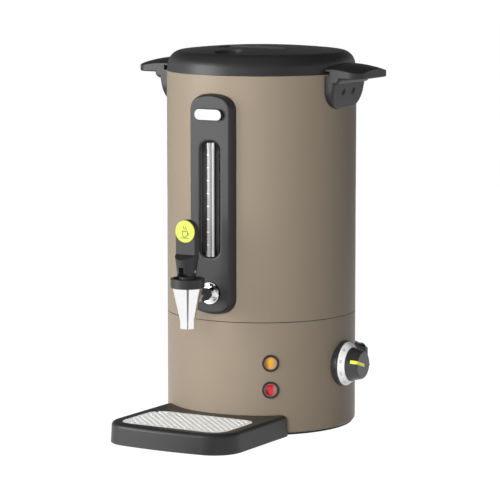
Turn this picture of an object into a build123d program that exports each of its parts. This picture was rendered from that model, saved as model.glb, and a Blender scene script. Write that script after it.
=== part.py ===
"""Hot water urn: double-walled drum, tilting-lever tap, water gauge, twist-lock lid and drip tray.

Millimetres, +Z up. The origin is on the drum's axis at the surface the urn stands on. The tap is on
the -Y side, the temperature knob on the +X side.
"""
from build123d import *
import math
import os

os.makedirs("parts", exist_ok=True)

# ---------------------------------------------------------------- driving dimensions
# Drum
drum_r = 112.0              # outside radius of both painted shells
shell_wall = 1.0
foot_height = 2.0           # thickness of the rubber foot ring under the lower shell
foot_width = 10.0
seam_z = 132.4              # top edge of the lower shell
seam_gap = 0.9              # dark rib of the joining ring between the shells
rib_inset = 0.4
band_t = 1.5                # joining ring's band behind both shells
band_down = 10.0
band_up = 6.0
shell_top_z = 417.9         # top edge of the upper shell
shell_lip = 12.0            # inward flange at the foot of the lower shell
tank_shelf = 6.0            # ledge inside the upper shell for the tank's flange
shell_foot_radius = 3.0
skin_gap = 0.05             # clearance between curved sheets that lie on each other
# Tank and heater
tank_gap = 8.0              # air gap between the upper shell and the tank
tank_wall = 0.8
tank_lift = 7.7             # bottom of the tank above the seam
heater_plate_r = 66.0
heater_plate_t = 4.0
heater_ring_r = 52.0
heater_tube_r = 4.0
heater_gap_deg = 30.0
shield_r = 79.0
shield_drop = 23.0          # heat shield below the tank
shield_t = 1.0
cutout_r = 8.0
cutout_h = 7.0
cutout_offset = 20.0        # thermal cut-out beside the drum's axis
# Base
plate_gap = 5.0             # base plate inside the lower shell
plate_t = 1.2
plate_rim_h = 5.0
stud_r = 3.0
stud_ring_r = 74.0
stud_count = 3
nut_t = 2.6
# Lid
lid_gap = 0.3               # skirt of the lid above the upper shell
lid_height = 28.6
lid_wall = 2.5
lid_skirt_taper = 3.6
lid_dome_rise = 6.8
lid_shoulder_r = 17.0
gasket_h = 2.3
gasket_inset = 1.3          # gasket outside the tank's bore
gasket_w = 4.5
liner_t = 0.8
liner_depth = 9.0
liner_play = 2.2            # radial gap between the liner's lip and the tank
liner_holes = 5
liner_hole_r = 2.0
liner_hole_ring = 8.0
grip_length = 87.0          # finger-grip recess along X
grip_bar = 24.0             # width of the bar that stays between the two wells
grip_reach = 36.0           # recess half-width in Y
grip_depth = 17.0
grip_corner = 9.0
vent_inset = 36.8           # steam vent inside the drum's face
vent_r = 17.5
vent_depth = 12.0           # floor of the vent cup below the top of the lid
vent_throat_r = 13.0
vent_wall = 2.0
vent_slot_w = 2.4
lid_boss_r = 5.0
lid_boss_ring_r = 80.0
lid_screw_r = 1.8
lid_screw_grip = 11.0
# Handles
grip_out = 40.0             # reach of the grip plate from the drum
grip_half = 38.0            # half-width of the grip plate
handle_bite = 30.0          # handle's blank inside the drum, before the drum is cut out
grip_plan_r = 15.0
grip_under = 4.4            # underside of the grip plate below the shell's top
grip_rim = 10.5             # height of the plate's rim
grip_crown = 6.0
lid_clear = 1.0             # air between a handle and the lid's skirt
pad_proud = 6.5             # outer face of the bracket pad from the drum
pad_half = 38.0
pad_height = 36.5
pad_corner_r = 22.0
pad_draft = 4.0
pad_chin_h = 9.0            # slanted foot of the pad
pad_cove_r = 7.0            # hollow between the pad and the grip plate
pad_edge_r = 3.0
grip_edge_r = 1.5
slot_drop = 1.4             # slot for the lid's lug below the shell's top
slot_h = 5.5
handle_screw_drop = 21.2    # screws below the shell's top
handle_screw_x = 11.7
handle_screw_r = 2.0
screw_head_r = 3.8
screw_head_t = 2.2
pad_slope = 1.4             # drafted pad face behind its top edge, at the screws
screw_recess = 0.6          # head below the pad's face
backing_t = 2.0
backing_half_w = 22.0
backing_half_h = 9.0
handle_screw_tail = 2.5     # screw beyond the backing plate
# Gauge
panel_half = 30.2           # half-width of the panel's blank at the tank's radius
panel_lift = 5.6            # foot of the panel above the seam
panel_drop = 18.3           # top of the panel below the shell's top
panel_proud = 7.5
panel_crown = 8.5           # rise of each end of the panel
panel_corner = 20.0
panel_draft = 13.0          # flanks of the panel, degrees
panel_edge_r = 3.0
window_rim_r = 3.5          # soft rim round the window
window_half = 12.0
window_lift = 70.1          # window above the panel's foot
window_drop = 58.1          # window below the panel's top
window_corner = 9.0
trough_wall = 1.2
trough_depth = 6.5          # floor of the trough inside the drum's face
glass_r = 5.0
glass_wall = 1.2
glass_overlap = 4.0         # glass inside a fitting
fitting_h = 7.5
glass_proud = 5.0           # glass axis from the drum's face
fitting_r = 6.0
fitting_play = 0.3
fitting_peg_r = 3.0         # peg of the upper fitting
elbow_port_r = 3.0
elbow_wall = 1.2
panel_screw_r = 1.7
panel_screw_head_r = 3.2
panel_screw_head_t = 1.8
panel_screw_x = 19.0
panel_screw_low = 46.0      # lower screws above the panel's foot
panel_screw_high = 35.5     # upper screws below the panel's top
panel_screw_bite = 4.0      # panel left in front of a screw
badge_w = 35.0
badge_h = 12.0
badge_drop = 25.9           # badge below the panel's top
badge_t = 1.2
badge_boss = 4.0            # raised pill under the badge
badge_frame = 0.6
badge_sink = 0.7
# Tap
tap_reach = 57.0            # tap axis from the drum's face
shank_lift = 27.6           # shank above the panel's foot
shank_r = 8.0
shank_bore_r = 5.0
spout_h = 9.0
spout_r = 8.6
spout_bore_r = 6.0
cone_h = 38.0
cone_rise = 12.7            # top of the cone above the shank
cone_top_r = 17.0
seat_depth = 27.5           # valve seat below the top of the cone
chamber_low_r = 9.5
chamber_top_r = 13.2
bonnet_r = 19.5
bonnet_h = 11.0
bonnet_boss_r = 10.0
bonnet_boss_h = 1.9
bonnet_well = 5.5
bonnet_rim = 3.0
bonnet_spigot = 5.5
stem_r = 2.75
stem_play = 0.1
stem_eye_r = 4.2
pin_rise = 6.1              # lever pin above the bonnet's boss
pin_r = 1.5
pin_play = 0.05
seat_cup_r = 8.5
seat_cup_h = 5.7
stem_flange_t = 2.0
spring_r = 5.6
spring_wire_r = 0.6
spring_turns = 4
escutcheon_r = 12.7
escutcheon_play = 0.8
escutcheon_proud = 1.5
tap_nut_r = 13.0
tap_nut_t = 4.0
washer_t = 2.0
# Lever
lever_half = 13.2
lever_front = 4.7           # paddle front before the tap axis
lever_back = 4.2            # paddle back behind the tap axis
lever_disc_rise = 46.0      # centre of the paddle's disc above the pin
lever_edge_r = 1.2
hub_half = 12.5
hub_front = 16.5
hub_back = 6.5
hub_rise = 19.5             # top of the hub above the pin
hub_low_gap = 0.3           # hub above the bonnet's boss
hub_ramp_h = 5.5
hub_taper = 7.0
lever_slot_half = 3.05
lever_slot_rise = 5.5       # top of the slot above the pin
toe_front = 8.0             # front of the hub's foot before the tap axis
button_r = 12.8
button_t = 1.8
button_sink = 1.0
# Knob and dial
dial_z = 76.0
bezel_r = 27.0
bezel_proud = 5.0
bezel_hollow_r = 10.0
ring_low_r = 25.7
ring_top_r = 20.6
ring_h = 6.5
knob_gap = 0.4
knob_low_r = 20.0
knob_top_r = 16.2
knob_h = 14.6               # from the dial ring's face to the knob's face
knob_wall = 2.4
knob_edge_r = 2.6
knob_hub_r = 6.0
shaft_r = 3.0
shaft_play = 0.08
nut_depth = 4.0             # hollow of the bezel behind its face
bush_r = 5.0
dial_nut_r = 8.0
dial_nut_t = 2.5
thermostat_w = 32.0
thermostat_d = 25.0
thermostat_sink = 5.0       # thermostat's face inside the drum's face
pointer_w = 3.8
pointer_deg = 18.0
pointer_proud = 0.3
pointer_sink = 0.8
bulb_r = 3.0
bulb_length = 40.0
bulb_offset = 10.0          # capillary bulb outside the heater plate
capillary_r = 1.0
capillary_step = 12.0       # height of each lower run of the capillary
# Lamps
lamp_azimuth = 35.4         # degrees from the tap towards the knob
amber_z = 85.5
red_z = 54.1
lamp_bezel_r = 10.0
lamp_body_r = 7.7
lamp_lens_r = 6.7
lamp_bezel_proud = 2.2
lamp_length = 22.0
lens_rise = 1.6
# Switch
switch_azimuth = 128.0
switch_z = 72.0
switch_base_h = 42.0
switch_base_w = 30.0
switch_neck_h = 30.5
switch_neck_w = 19.5
switch_proud = 12.5         # rim of the neck from the drum
switch_wall = 1.4
rocker_pivot_proud = 9.0
rocker_r = 13.4
rocker_rise = 8.4           # rocker's face in front of its pivot
rocker_tilt = 7.0
rocker_pin_r = 1.5
switch_body_h = 26.0
switch_body_w = 15.0
switch_body_depth = 22.0
# Cord gland and terminal block
gland_z = 30.0
gland_bore_r = 3.8
gland_r = 7.5
gland_flange_r = 10.5
gland_length = 12.0
block_w = 34.0
block_d = 14.0
block_h = 12.0
block_inset = 50.0          # terminal block in front of the rear wall
# Drip tray
tray_reach = 117.3          # front of the tray from the drum
tray_half_front = 84.0
tray_half_back = 83.5
tray_h = 24.0
tray_rear = 78.0            # rear corners in front of the drum's axis
tray_rear_r = 8.0
tray_wall = 3.0
tray_draft = 3.0
tray_corner_r = 34.0
tray_rear_gap = 0.4         # to the drum
tray_bow = 7.5
tray_edge_r = 5.0
grille_half = 69.3
grille_front_inset = 15.8   # grille behind the tray's front
grille_back_gap = 15.5       # grille in front of the drum
grille_front_r = 19.0
grille_back_r = 19.0
grille_t = 1.2
grille_recess = 0.4
grille_ledge = 4.0
grille_play = 0.5
hole_r = 2.4
hole_pitch = 9.0

# ---------------------------------------------------------------- derived sizes
shell_in_r = drum_r - shell_wall
tank_r = shell_in_r - tank_gap
tank_in_r = tank_r - tank_wall
upper_low_z = seam_z + seam_gap
tank_bottom_z = upper_low_z + tank_lift
shield_z = tank_bottom_z - shield_drop
plate_r = shell_in_r - plate_gap
shell_floor_z = foot_height + shell_wall            # inside face of the lower shell's lip
plate_z = shell_floor_z + plate_rim_h
shelf_z = shell_top_z - tank_wall                   # top of the ledge under the tank's flange
lid_low_z = shell_top_z + lid_gap
lid_top_z = lid_low_z + lid_height
gasket_r_in = tank_in_r + gasket_inset
gasket_r_out = gasket_r_in + gasket_w
liner_z = shell_top_z + gasket_h
grip_tip = drum_r + grip_out
grip_low_z = shell_top_z - grip_under
grip_edge_z = grip_low_z + grip_rim
pad_face = drum_r + pad_proud
pad_low_z = grip_low_z - pad_height
slot_low_z = shell_top_z - slot_drop
slot_high_z = slot_low_z + slot_h
handle_screw_z = shell_top_z - handle_screw_drop
panel_low_z = upper_low_z + panel_lift
panel_high_z = shell_top_z - panel_drop
panel_front = drum_r + panel_proud
panel_screw_levels = (panel_low_z + panel_screw_low, panel_high_z - panel_screw_high)
window_low_z = panel_low_z + window_lift
window_high_z = panel_high_z - window_drop
trough_floor = drum_r - trough_depth
glass_place = drum_r + glass_proud
badge_z = panel_high_z - badge_drop
tap_place = drum_r + tap_reach
shank_z = panel_low_z + shank_lift
cone_top_z = shank_z + cone_rise
cone_low_z = cone_top_z - cone_h
spout_tip_z = cone_low_z - spout_h
seat_z = cone_top_z - seat_depth
bonnet_top_z = cone_top_z + bonnet_h
bonnet_boss_z = bonnet_top_z + bonnet_boss_h
pin_z = bonnet_boss_z + pin_rise
lever_disc_z = pin_z + lever_disc_rise
hub_top_z = pin_z + hub_rise
hub_rim_z = hub_top_z - hub_ramp_h
lever_slot_top = pin_z + lever_slot_rise
bezel_face = drum_r + bezel_proud
ring_face = bezel_face + ring_h
knob_face = ring_face + knob_h
thermostat_face = drum_r - thermostat_sink
bulb_x = heater_plate_r + bulb_offset
switch_neck = drum_r + switch_proud
rocker_pivot = drum_r + rocker_pivot_proud
rocker_face = rocker_pivot + rocker_rise
block_y = drum_r - block_inset
tray_front = drum_r + tray_reach
grille_front = tray_front - grille_front_inset
grille_back = drum_r + grille_back_gap
dial_hole_r = bush_r + 0.3
nut_seat = bezel_face - nut_depth
vent_floor_z = lid_top_z - vent_depth
vent_y = vent_inset - drum_r
elbow_low_z = window_low_z + fitting_play
elbow_high_z = elbow_low_z + fitting_h
elbow_port_z = elbow_low_z + elbow_port_r
cap_high_z = window_high_z - fitting_play
cap_low_z = cap_high_z - fitting_h
glass_low_z = elbow_high_z - glass_overlap
glass_high_z = cap_low_z + glass_overlap
handle_root = drum_r - handle_bite
grille_z = tray_h - grille_recess - grille_t
CENTRE_LOW = (Align.CENTER, Align.CENTER, Align.MIN)


# ---------------------------------------------------------------- shared shapes
def post(radius, low, high, x=0, y=0):
    """Upright cylinder between two heights."""
    return Pos(x, y, low) * Cylinder(radius, high - low, align=CENTRE_LOW)


def pipe(outer, inner, low, high, x=0, y=0):
    """Upright ring between two heights."""
    return post(outer, low, high, x, y) - post(inner, low - 1, high + 1, x, y)


def block(x0, x1, y0, y1, z0, z1):
    """Box between six faces."""
    return Pos(x0, y0, z0) * Box(x1 - x0, y1 - y0, z1 - z0, align=(Align.MIN,) * 3)


def turned(points, axis=Axis.Z):
    """Solid of revolution from (radius, height) points."""
    return revolve(Plane.XZ * make_face(Polyline(*points, close=True)), axis)


def prism_x(points, half):
    """Solid of constant section along X, from (y, z) points."""
    face = Plane.YZ * make_face(Polyline(*points, close=True))
    return extrude(face, amount=half, both=True)


def facing(azimuth, height=0.0):
    """Place whose Z axis leaves the drum at an azimuth from the tap, X along the wall, Y up."""
    return Pos(0, 0, height) * Rot(0, 0, azimuth) * Rot(90, 0, 0)


def drum_solid(radius, low=0.0, high=lid_top_z):
    return post(radius, low - 1, high + 1)


# ---------------------------------------------------------------- drum
def upper_shell():
    """Painted wall; a ledge inside its top edge carries the tank."""
    shell = pipe(drum_r, shell_in_r, upper_low_z, shell_top_z)
    shell += pipe(drum_r, shell_in_r - tank_shelf, shelf_z - shell_wall, shelf_z)
    shell -= gauge_opening(fitting_play)
    shell -= facing(0, shank_z) * post(shank_r + fitting_play, tank_r, drum_r + 5)
    for side in (-90, 90):
        for place in handle_screw_places():
            shell -= facing(side, 0) * place * post(handle_screw_r, tank_r, drum_r + 5)
    for place in panel_screw_places():
        shell -= facing(0, 0) * place * post(panel_screw_r, tank_r, drum_r + 5)
    return shell


def lower_shell():
    """Painted shell with the controls; its foot is rolled inwards to a narrow lip."""
    outer = post(drum_r, foot_height, seam_z)
    outer = fillet(outer.edges().sort_by(Axis.Z)[0], shell_foot_radius)
    inner = post(shell_in_r, shell_floor_z, seam_z + 1)
    inner = fillet(inner.edges().sort_by(Axis.Z)[0], max(shell_foot_radius - shell_wall, 0.2))
    shell = outer - inner - post(drum_r - shell_lip, 0, seam_z)
    shell -= facing(90, dial_z) * post(dial_hole_r, tank_r, drum_r + 5)
    for height in (amber_z, red_z):
        shell -= facing(lamp_azimuth, height) * post(lamp_body_r, tank_r, drum_r + 5)
    shell -= facing(switch_azimuth, switch_z) * switch_cut(0.0)
    shell -= facing(180, gland_z) * post(gland_r, tank_r, drum_r + 5)
    return shell


def joining_ring():
    """Inner band that centres the shells; its rib shows as the dark seam."""
    rib = pipe(drum_r - rib_inset, shell_in_r - band_t, seam_z, upper_low_z)
    band = pipe(shell_in_r - skin_gap, shell_in_r - band_t, seam_z - band_down, upper_low_z + band_up)
    return rib + band


def base_plate():
    """Upside-down pan: its rim stands on the lower shell's lip."""
    disc = post(plate_r, plate_z, plate_z + plate_t)
    rim = pipe(plate_r, plate_r - plate_t, shell_floor_z, plate_z)
    plate = disc + rim
    for x, y in stud_places():
        plate -= post(stud_r, 0, tank_bottom_z, x, y)
    return plate


def foot_ring():
    inner = drum_r - shell_lip - 1
    return pipe(inner + foot_width, inner, 0, foot_height)


def stud_places():
    turn = 360 / stud_count
    for i in range(stud_count):
        angle = math.radians(60 + turn * i)
        yield stud_ring_r * math.cos(angle), stud_ring_r * math.sin(angle)


def tie_studs():
    """Studs welded under the tank; a collar on each carries the heat shield."""
    collar = 5.0
    studs = []
    for x, y in stud_places():
        rod = post(stud_r, plate_z - nut_t, tank_bottom_z, x, y)
        studs.append(rod + post(stud_r + 2, shield_z - collar, shield_z, x, y))
    return Compound(studs)


def tie_nuts():
    nuts = []
    for x, y in stud_places():
        hexagon = Pos(x, y, plate_z - nut_t) * extrude(RegularPolygon(stud_r * 1.9, 6), nut_t)
        nuts.append(hexagon - post(stud_r, 0, plate_z, x, y))
    return Compound(nuts)


# ---------------------------------------------------------------- tank and heater
def tank_jacket():
    """Rolled wall of the tank with the flange that hangs on the shell's ledge."""
    wall = post(tank_r, tank_bottom_z + tank_wall, shelf_z)
    wall += post(shell_in_r - skin_gap, shelf_z, shell_top_z)
    wall -= post(tank_in_r, tank_bottom_z, shell_top_z + 1)
    wall -= facing(0, shank_z) * post(shank_r + fitting_play, tank_in_r - 4, drum_r)
    return wall - facing(0, elbow_port_z) * post(elbow_port_r, tank_in_r - 4, drum_r)


def tank_floor():
    """Disc welded to the foot of the jacket."""
    return post(tank_r, tank_bottom_z, tank_bottom_z + tank_wall)


def heater_plate():
    return post(heater_plate_r, tank_bottom_z - heater_plate_t, tank_bottom_z)


def heater_element():
    """Tubular ring under the plate with two upright terminals."""
    level = tank_bottom_z - heater_plate_t - heater_tube_r
    section = Plane.XZ * Pos(heater_ring_r, level) * Circle(heater_tube_r - skin_gap)
    ring = revolve(section, Axis.Z, 360 - heater_gap_deg)
    for angle in (0, 360 - heater_gap_deg):
        x = heater_ring_r * math.cos(math.radians(angle))
        y = heater_ring_r * math.sin(math.radians(angle))
        ring += post(heater_tube_r * 0.5, shield_z + shield_t + 4, level, x, y)
    return ring


def heat_shield():
    shield = post(shield_r, shield_z, shield_z + shield_t)
    for x, y in stud_places():
        shield -= post(stud_r, shield_z - 1, shield_z + shield_t + 1, x, y)
    return shield


def thermal_cutout():
    top = tank_bottom_z - heater_plate_t
    body = post(cutout_r, top - cutout_h, top)
    for side in (-1, 1):
        body += block(side * 5 - 0.4, side * 5 + 0.4, -3, 3, top - cutout_h - 6, top - cutout_h)
    return Pos(-cutout_offset, 0, 0) * body


# ---------------------------------------------------------------- lid
def lid_dome_radius():
    edge_r = drum_r - lid_skirt_taper
    return (edge_r ** 2 + lid_dome_rise ** 2) / (2 * lid_dome_rise)


def lid_form(inset=0.0):
    """Outer form of the lid, or the same form set in by a wall."""
    low_r = drum_r - inset
    side_r = drum_r - lid_skirt_taper - inset
    top = lid_top_z - inset
    low = lid_low_z
    dome = lid_dome_radius()
    edge_z = top - dome + math.sqrt(dome ** 2 - side_r ** 2)
    mid_r = side_r / 2
    mid_z = top - dome + math.sqrt(dome ** 2 - mid_r ** 2)
    outline = [Line((0, low), (low_r, low)), Line((low_r, low), (side_r, edge_z)),
               ThreePointArc((side_r, edge_z), (mid_r, mid_z), (0, top)), Line((0, top), (0, low))]
    body = revolve(Plane.XZ * make_face(outline), Axis.Z)
    rim = body.edges().filter_by(GeomType.CIRCLE).filter_by(
        lambda e: abs(e.radius - side_r) < 0.01)
    return fillet(rim, lid_shoulder_r - inset)


def grip_wells(grow=0.0):
    """The two finger wells on both sides of the bar."""
    length = grip_length + 2 * grow
    width = grip_reach - grip_bar / 2
    floor = lid_top_z - grip_depth - grow
    wells = []
    for side in (-1, 1):
        centre = side * (grip_bar / 2 + width / 2)
        plan = Pos(0, centre) * RectangleRounded(length, width + 2 * grow, grip_corner + grow)
        wells.append(Pos(0, 0, floor) * extrude(plan, lid_top_z - floor + 2))
    return wells[0] + wells[1]


def lid_boss_places():
    for angle in (90, 210, 330):
        yield (lid_boss_ring_r * math.cos(math.radians(angle)),
               lid_boss_ring_r * math.sin(math.radians(angle)))


def lid_shell():
    """Moulded cover; inside are a rib that presses the gasket and three screw bosses."""
    outer = lid_form()
    cover = outer - lid_form(lid_wall)
    pockets = grip_wells(lid_wall) & outer
    bar = block(-grip_length / 2 - lid_wall, grip_length / 2 + lid_wall, -grip_bar / 2, grip_bar / 2,
                lid_top_z - grip_depth - lid_wall, lid_top_z + 1) & outer
    bar -= block(-grip_length / 2, grip_length / 2, -grip_bar / 2 + lid_wall,
                 grip_bar / 2 - lid_wall, 0, lid_top_z - 2 * lid_wall)
    vent_cup = post(vent_r + vent_wall, vent_floor_z - vent_wall, lid_top_z, 0, vent_y) & outer
    rib = pipe(gasket_r_out, gasket_r_in, liner_z, lid_top_z) & outer
    cover = cover + pockets + bar + vent_cup + rib
    for x, y in lid_boss_places():
        cover += post(lid_boss_r, liner_z, lid_top_z, x, y) & outer
        cover -= post(lid_screw_r, liner_z - 1, liner_z + lid_screw_grip, x, y)
    cover -= grip_wells()
    cover -= post(vent_r, vent_floor_z, lid_top_z + 1, 0, vent_y)
    cover -= post(vent_throat_r, vent_floor_z - vent_wall - 1, lid_top_z, 0, vent_y)
    return cover


def steam_vent():
    """Slotted insert that drops into the vent cup."""
    insert = post(vent_r - 0.3, vent_floor_z, vent_floor_z + 2, 0, vent_y)
    insert += post(vent_throat_r - 0.2, vent_floor_z - vent_wall - 2, vent_floor_z, 0, vent_y)
    for i in range(-2, 3):
        x = i * 2 * vent_slot_w
        insert -= block(x - vent_slot_w / 2, x + vent_slot_w / 2, vent_y - 7, vent_y + 7,
                        vent_floor_z - 10, vent_floor_z + 5)
    return insert


def lid_liner():
    """Stainless disc under the lid; its turned-down lip centres the lid in the tank."""
    lip_r = tank_in_r - liner_play
    pan = post(lip_r, liner_z - liner_depth, liner_z)
    pan = fillet(pan.edges().sort_by(Axis.Z)[-1], liner_t)
    pan -= post(lip_r - liner_t, 0, liner_z - liner_t)
    for x, y in lid_boss_places():
        pan -= post(lid_screw_r, 0, lid_top_z, x, y)
    for i in range(liner_holes):
        angle = math.radians(360 / liner_holes * i)
        pan -= post(liner_hole_r, 0, lid_top_z, liner_hole_ring * math.cos(angle),
                    vent_y + liner_hole_ring * math.sin(angle))
    return pan


def lid_gasket():
    return pipe(gasket_r_out, gasket_r_in, shell_top_z, liner_z)


def lid_screws():
    head = 2.0
    low = liner_z - liner_t
    screws = []
    for x, y in lid_boss_places():
        screw = post(lid_screw_r, low, liner_z + lid_screw_grip, x, y)
        screws.append(screw + post(lid_screw_r * 2, low - head, low, x, y))
    return Compound(screws)


# ---------------------------------------------------------------- handles
def handle_screw_places():
    for side in (-1, 1):
        yield Pos(side * handle_screw_x, handle_screw_z, 0)


def grip_plate():
    """Domed plate that the hand lifts by, with softened rims."""
    plan = Pos(0, -(handle_root + grip_tip) / 2) * RectangleRounded(
        2 * grip_half, grip_tip - handle_root, grip_plan_r)
    plate = Pos(0, 0, grip_low_z) * extrude(plan, grip_edge_z + grip_crown - grip_low_z)
    reach = grip_tip - drum_r
    dome_r = (reach ** 2 + grip_crown ** 2) / (2 * grip_crown)
    plate &= Pos(0, -drum_r, grip_edge_z + grip_crown - dome_r) * Sphere(dome_r)
    plate = fillet(plate.faces().sort_by(Axis.Z)[-1].edges(), grip_edge_r)
    return fillet(plate.edges().group_by(Axis.Z)[0], grip_edge_r)


def handle_bracket():
    """Pad under the grip plate: drafted face, coved into the plate, rounded all round."""
    top = grip_low_z + grip_edge_r + 0.5
    chin = -drum_r - 0.5
    brow = -pad_face - pad_cove_r
    outline = [Line((-handle_root, top), (-handle_root, pad_low_z)),
               Line((-handle_root, pad_low_z), (chin, pad_low_z)),
               Line((chin, pad_low_z), (-pad_face + pad_draft, pad_low_z + pad_chin_h)),
               Line((-pad_face + pad_draft, pad_low_z + pad_chin_h), (-pad_face, grip_low_z - pad_cove_r)),
               RadiusArc((-pad_face, grip_low_z - pad_cove_r), (brow, grip_low_z), pad_cove_r),
               Line((brow, grip_low_z), (brow, top)),
               Line((brow, top), (-handle_root, top))]
    bracket = extrude(Plane.YZ * make_face(outline), pad_half, both=True)
    shield_h = grip_edge_z - pad_low_z + pad_corner_r
    shield = Pos(0, pad_low_z + shield_h / 2) * RectangleRounded(2 * pad_half, shield_h, pad_corner_r)
    bracket &= extrude(Plane.XZ * shield, grip_tip)
    rims = bracket.edges().filter_by(
        lambda e: e.bounding_box().max.Y < chin + 1.5 and e.bounding_box().max.Z < grip_low_z + 0.1
        and e.bounding_box().min.Y > brow - 0.1)
    level = rims.filter_by(Axis.X).filter_by(lambda e: e.center().Z > pad_low_z + 1)
    return fillet([e for e in rims if e not in level], pad_edge_r)


def handle():
    """One moulding: grip plate and bracket, curved to the drum, with a slot for the lid's lug."""
    body = grip_plate() + handle_bracket()
    body -= drum_solid(drum_r, 0, lid_low_z)
    body -= post(drum_r + lid_clear, lid_low_z - 1, lid_top_z + 10)
    body -= post(pad_face, slot_low_z, slot_high_z)
    for place in handle_screw_places():
        spot = facing(0, 0) * place
        body -= spot * post(handle_screw_r, drum_r - 10, grip_tip)
        body -= spot * post(screw_head_r + 0.3, screw_seat(), grip_tip)
    return body


def screw_seat():
    """Radial place of the face that a handle screw's head bears on."""
    return pad_face - pad_slope - screw_recess - screw_head_t


def handle_screws():
    screws = []
    for side in (-90, 90):
        for place in handle_screw_places():
            spot = facing(side, 0) * place
            screw = post(handle_screw_r, backing_inner() - handle_screw_tail, screw_seat())
            head = post(screw_head_r, screw_seat(), screw_seat() + screw_head_t)
            for turn in (0, 90):
                head -= Rot(0, 0, turn) * block(-2.4, 2.4, -0.5, 0.5, screw_seat() + 1,
                                                screw_seat() + screw_head_t + 1)
            screws.append(spot * (screw + head))
    return Compound(screws)


def backing_inner():
    return shell_in_r - skin_gap - backing_t


def handle_backing_plates():
    """Curved plates inside the shell that spread the pull of the handles."""
    plates = []
    for side in (-90, 90):
        bent = pipe(shell_in_r - skin_gap, backing_inner(), handle_screw_z - backing_half_h,
                    handle_screw_z + backing_half_h)
        plate = facing(side, 0) * block(-backing_half_w, backing_half_w, 0, lid_top_z, 0, drum_r)
        plate &= bent
        for place in handle_screw_places():
            plate -= facing(side, 0) * place * post(handle_screw_r, tank_r, drum_r)
        plates.append(plate)
    return Compound(plates)


# ---------------------------------------------------------------- gauge
def panel_outline():
    """Long plate with softly crowned ends, in (x, z)."""
    half, shoulder = panel_half, panel_crown
    low, high = panel_low_z, panel_high_z
    outline = [Line((half, low + shoulder), (half, high - shoulder)),
               ThreePointArc((half, high - shoulder), (0, high), (-half, high - shoulder)),
               Line((-half, high - shoulder), (-half, low + shoulder)),
               ThreePointArc((-half, low + shoulder), (0, low), (half, low + shoulder))]
    face = make_face(outline)
    return fillet(face.vertices(), panel_corner)


def window_outline(grow=0.0):
    height = window_high_z - window_low_z + 2 * grow
    return Pos(0, (window_low_z + window_high_z) / 2) * RectangleRounded(
        2 * (window_half + grow), height, window_corner + grow)


def gauge_opening(play):
    """Cut through the shell for the trough."""
    return facing(0, 0) * Pos(0, 0, tank_r) * extrude(window_outline(trough_wall + play), 20)


def window_rim(edge):
    """Tells the edges round the window on the panel's front from all others."""
    spot = edge.center()
    level = window_low_z - 0.1 < spot.Z < window_high_z + 0.1
    return level and abs(spot.X) < window_half + 0.1 and abs(spot.Y + panel_front) < 0.05


def panel_blank():
    """Drafted plate with soft edges, a soft window rim and the raised pill for the badge."""
    place = facing(0, 0)
    blank = place * Pos(0, 0, tank_r) * extrude(panel_outline(), panel_front - tank_r, taper=panel_draft)
    blank = fillet(blank.edges().group_by(Axis.Y)[0], panel_edge_r)
    blank -= place * Pos(0, 0, tank_r) * extrude(window_outline(), panel_front)
    blank = fillet(blank.edges().filter_by(window_rim), window_rim_r)
    boss = Pos(0, badge_z, drum_r) * extrude(badge_outline(badge_frame), panel_front - drum_r + badge_boss)
    return blank + place * boss


def gauge_panel():
    """Moulded cover with openings for the gauge, the tap, the badge and its own screws."""
    place = facing(0, 0)
    panel = panel_blank() - drum_solid(drum_r)
    panel -= facing(0, shank_z) * post(escutcheon_r + escutcheon_play, tank_r, panel_front + 1)
    panel -= badge_seat(5)
    for spot in panel_screw_places():
        panel -= place * spot * post(panel_screw_r, drum_r - 10, panel_front - panel_screw_bite)
    return panel


def badge_outline(grow=0.0):
    return SlotOverall(badge_w + 2 * grow, badge_h + 2 * grow)


def badge_seat(height):
    """Pill of a given height standing on the floor of the badge's recess."""
    floor = panel_front + badge_boss - badge_sink
    return facing(0, badge_z) * Pos(0, 0, floor) * extrude(badge_outline(), height)


def badge_plate():
    return badge_seat(badge_t)


def gauge_trough():
    """Channel behind the window; the elbow passes through its floor."""
    place = facing(0, 0)
    back = trough_floor - trough_wall
    body = place * Pos(0, 0, back) * extrude(window_outline(trough_wall), 20)
    body -= place * Pos(0, 0, trough_floor) * extrude(window_outline(), 20)
    body &= drum_solid(drum_r)
    return body - facing(0, elbow_port_z) * post(elbow_port_r, tank_r, drum_r)


def sight_glass():
    return pipe(glass_r, glass_r - glass_wall, glass_low_z, glass_high_z, 0, -glass_place)


def gauge_top_cap():
    """Closed seal on the upper end of the glass: a peg holds it to the trough, and it can breathe."""
    cap = post(fitting_r, cap_low_z, cap_high_z, 0, -glass_place)
    cap += facing(0, (cap_low_z + cap_high_z) / 2) * post(fitting_peg_r, trough_floor, glass_place)
    cap -= post(glass_r, 0, glass_high_z, 0, -glass_place)
    return cap - post(0.8, 0, lid_top_z, 0, -glass_place)


def gauge_elbow():
    """Elbow from the lower end of the glass through the trough into the tank."""
    elbow = post(fitting_r, elbow_low_z, elbow_high_z, 0, -glass_place)
    elbow += facing(0, elbow_port_z) * post(elbow_port_r, tank_in_r - 2, glass_place)
    elbow -= post(glass_r, glass_low_z, window_high_z, 0, -glass_place)
    channel = elbow_port_r - elbow_wall
    elbow -= post(channel, elbow_port_z, glass_low_z + 1, 0, -glass_place)
    return elbow - facing(0, elbow_port_z) * post(channel, tank_in_r - 3, glass_place)


def panel_screw_places():
    for level in panel_screw_levels:
        for side in (-1, 1):
            yield Pos(side * panel_screw_x, level, 0)


def panel_screws():
    inner = math.sqrt(shell_in_r ** 2 - (panel_screw_x + panel_screw_head_r) ** 2)
    screws = []
    for spot in panel_screw_places():
        screw = post(panel_screw_r, inner, panel_front - panel_screw_bite - 1)
        screw += post(panel_screw_head_r, inner - panel_screw_head_t, inner)
        screws.append(facing(0, 0) * spot * screw)
    return Compound(screws)


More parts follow.
